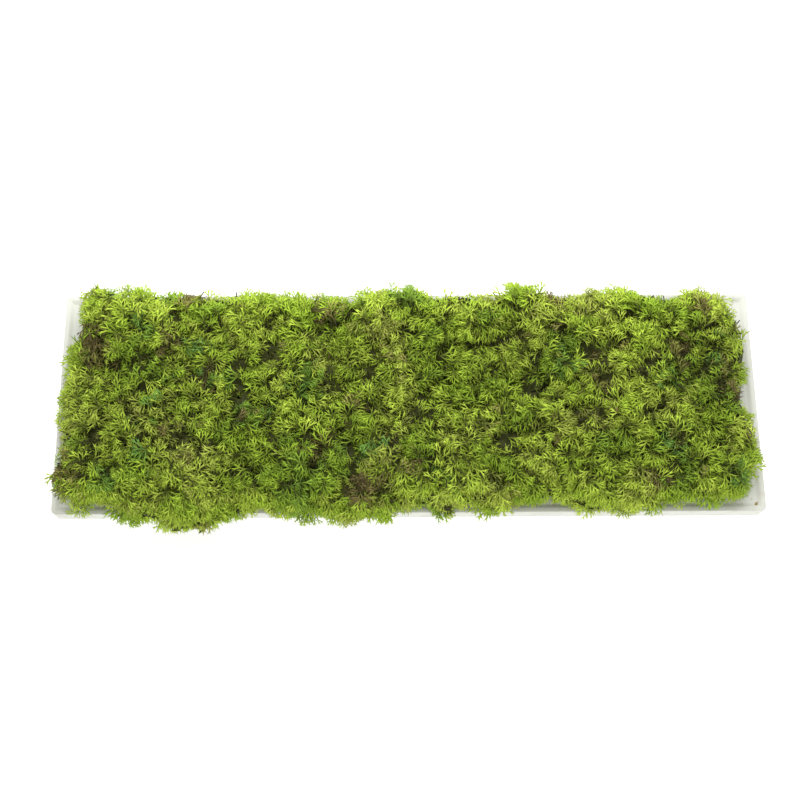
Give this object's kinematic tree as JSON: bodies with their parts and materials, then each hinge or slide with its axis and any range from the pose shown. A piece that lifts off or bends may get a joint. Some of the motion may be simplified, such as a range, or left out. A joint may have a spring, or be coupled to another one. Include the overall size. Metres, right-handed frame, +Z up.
{
  "type": "moss tray garden",
  "caption": "Long shallow rectangular tray filled with a dense carpet of branching moss tufts rooted in a growing mat, for standing on a table or shelf.",
  "frame": {"origin": "middle of the tray's flat underside, on the surface that it stands on", "axes": "+X along the tray to the right, +Y to its back, +Z up"},
  "size_m": [0.6064, 0.2254, 0.0622],
  "materials": {
    "tray_ivory": "matte",
    "mat_peat": "matte",
    "moss_yellow_green": "matte",
    "moss_mid_green": "matte",
    "moss_deep_green": "matte",
    "moss_olive_brown": "matte"
  },
  "bodies": {
    "root": {"growing_mat": "mat_peat", "moss_tuft_1_01": "moss_mid_green", "moss_tuft_1_02": "moss_olive_brown", "moss_tuft_1_03": "moss_mid_green", "moss_tuft_1_04": "moss_mid_green", "moss_tuft_1_05": "moss_yellow_green", "moss_tuft_1_06": "moss_mid_green", "moss_tuft_1_07": "moss_yellow_green", "moss_tuft_1_08": "moss_mid_green", "moss_tuft_1_09": "moss_yellow_green", "moss_tuft_1_10": "moss_deep_green", "moss_tuft_1_11": "moss_yellow_green", "moss_tuft_1_12": "moss_mid_green", "moss_tuft_1_13": "moss_olive_brown", "moss_tuft_1_14": "moss_olive_brown", "moss_tuft_2_01": "moss_mid_green", "moss_tuft_2_02": "moss_olive_brown", "moss_tuft_2_03": "moss_mid_green", "moss_tuft_2_04": "moss_mid_green", "moss_tuft_2_05": "moss_deep_green", "moss_tuft_2_06": "moss_olive_brown", "moss_tuft_2_07": "moss_yellow_green", "moss_tuft_2_08": "moss_mid_green", "moss_tuft_2_09": "moss_deep_green", "moss_tuft_2_10": "moss_mid_green", "moss_tuft_2_11": "moss_mid_green", "moss_tuft_2_12": "moss_mid_green", "moss_tuft_2_13": "moss_yellow_green", "moss_tuft_2_14": "moss_mid_green", "moss_tuft_3_01": "moss_olive_brown", "moss_tuft_3_02": "moss_mid_green", "moss_tuft_3_03": "moss_yellow_green", "moss_tuft_3_04": "moss_mid_green", "moss_tuft_3_05": "moss_mid_green", "moss_tuft_3_06": "moss_yellow_green", "moss_tuft_3_07": "moss_mid_green", "moss_tuft_3_08": "moss_mid_green", "moss_tuft_3_09": "moss_yellow_green", "moss_tuft_3_10": "moss_mid_green", "moss_tuft_3_11": "moss_mid_green", "moss_tuft_3_12": "moss_yellow_green", "moss_tuft_3_13": "moss_olive_brown", "moss_tuft_3_14": "moss_mid_green", "moss_tuft_4_01": "moss_deep_green", "moss_tuft_4_02": "moss_yellow_green", "moss_tuft_4_03": "moss_yellow_green", "moss_tuft_4_04": "moss_mid_green", "moss_tuft_4_05": "moss_olive_brown", "moss_tuft_4_06": "moss_deep_green", "moss_tuft_4_07": "moss_yellow_green", "moss_tuft_4_08": "moss_mid_green", "moss_tuft_4_09": "moss_mid_green", "moss_tuft_4_10": "moss_yellow_green", "moss_tuft_4_11": "moss_mid_green", "moss_tuft_4_12": "moss_yellow_green", "moss_tuft_4_13": "moss_mid_green", "moss_tuft_4_14": "moss_mid_green", "tray": "tray_ivory"}
  },
  "joints": []
}
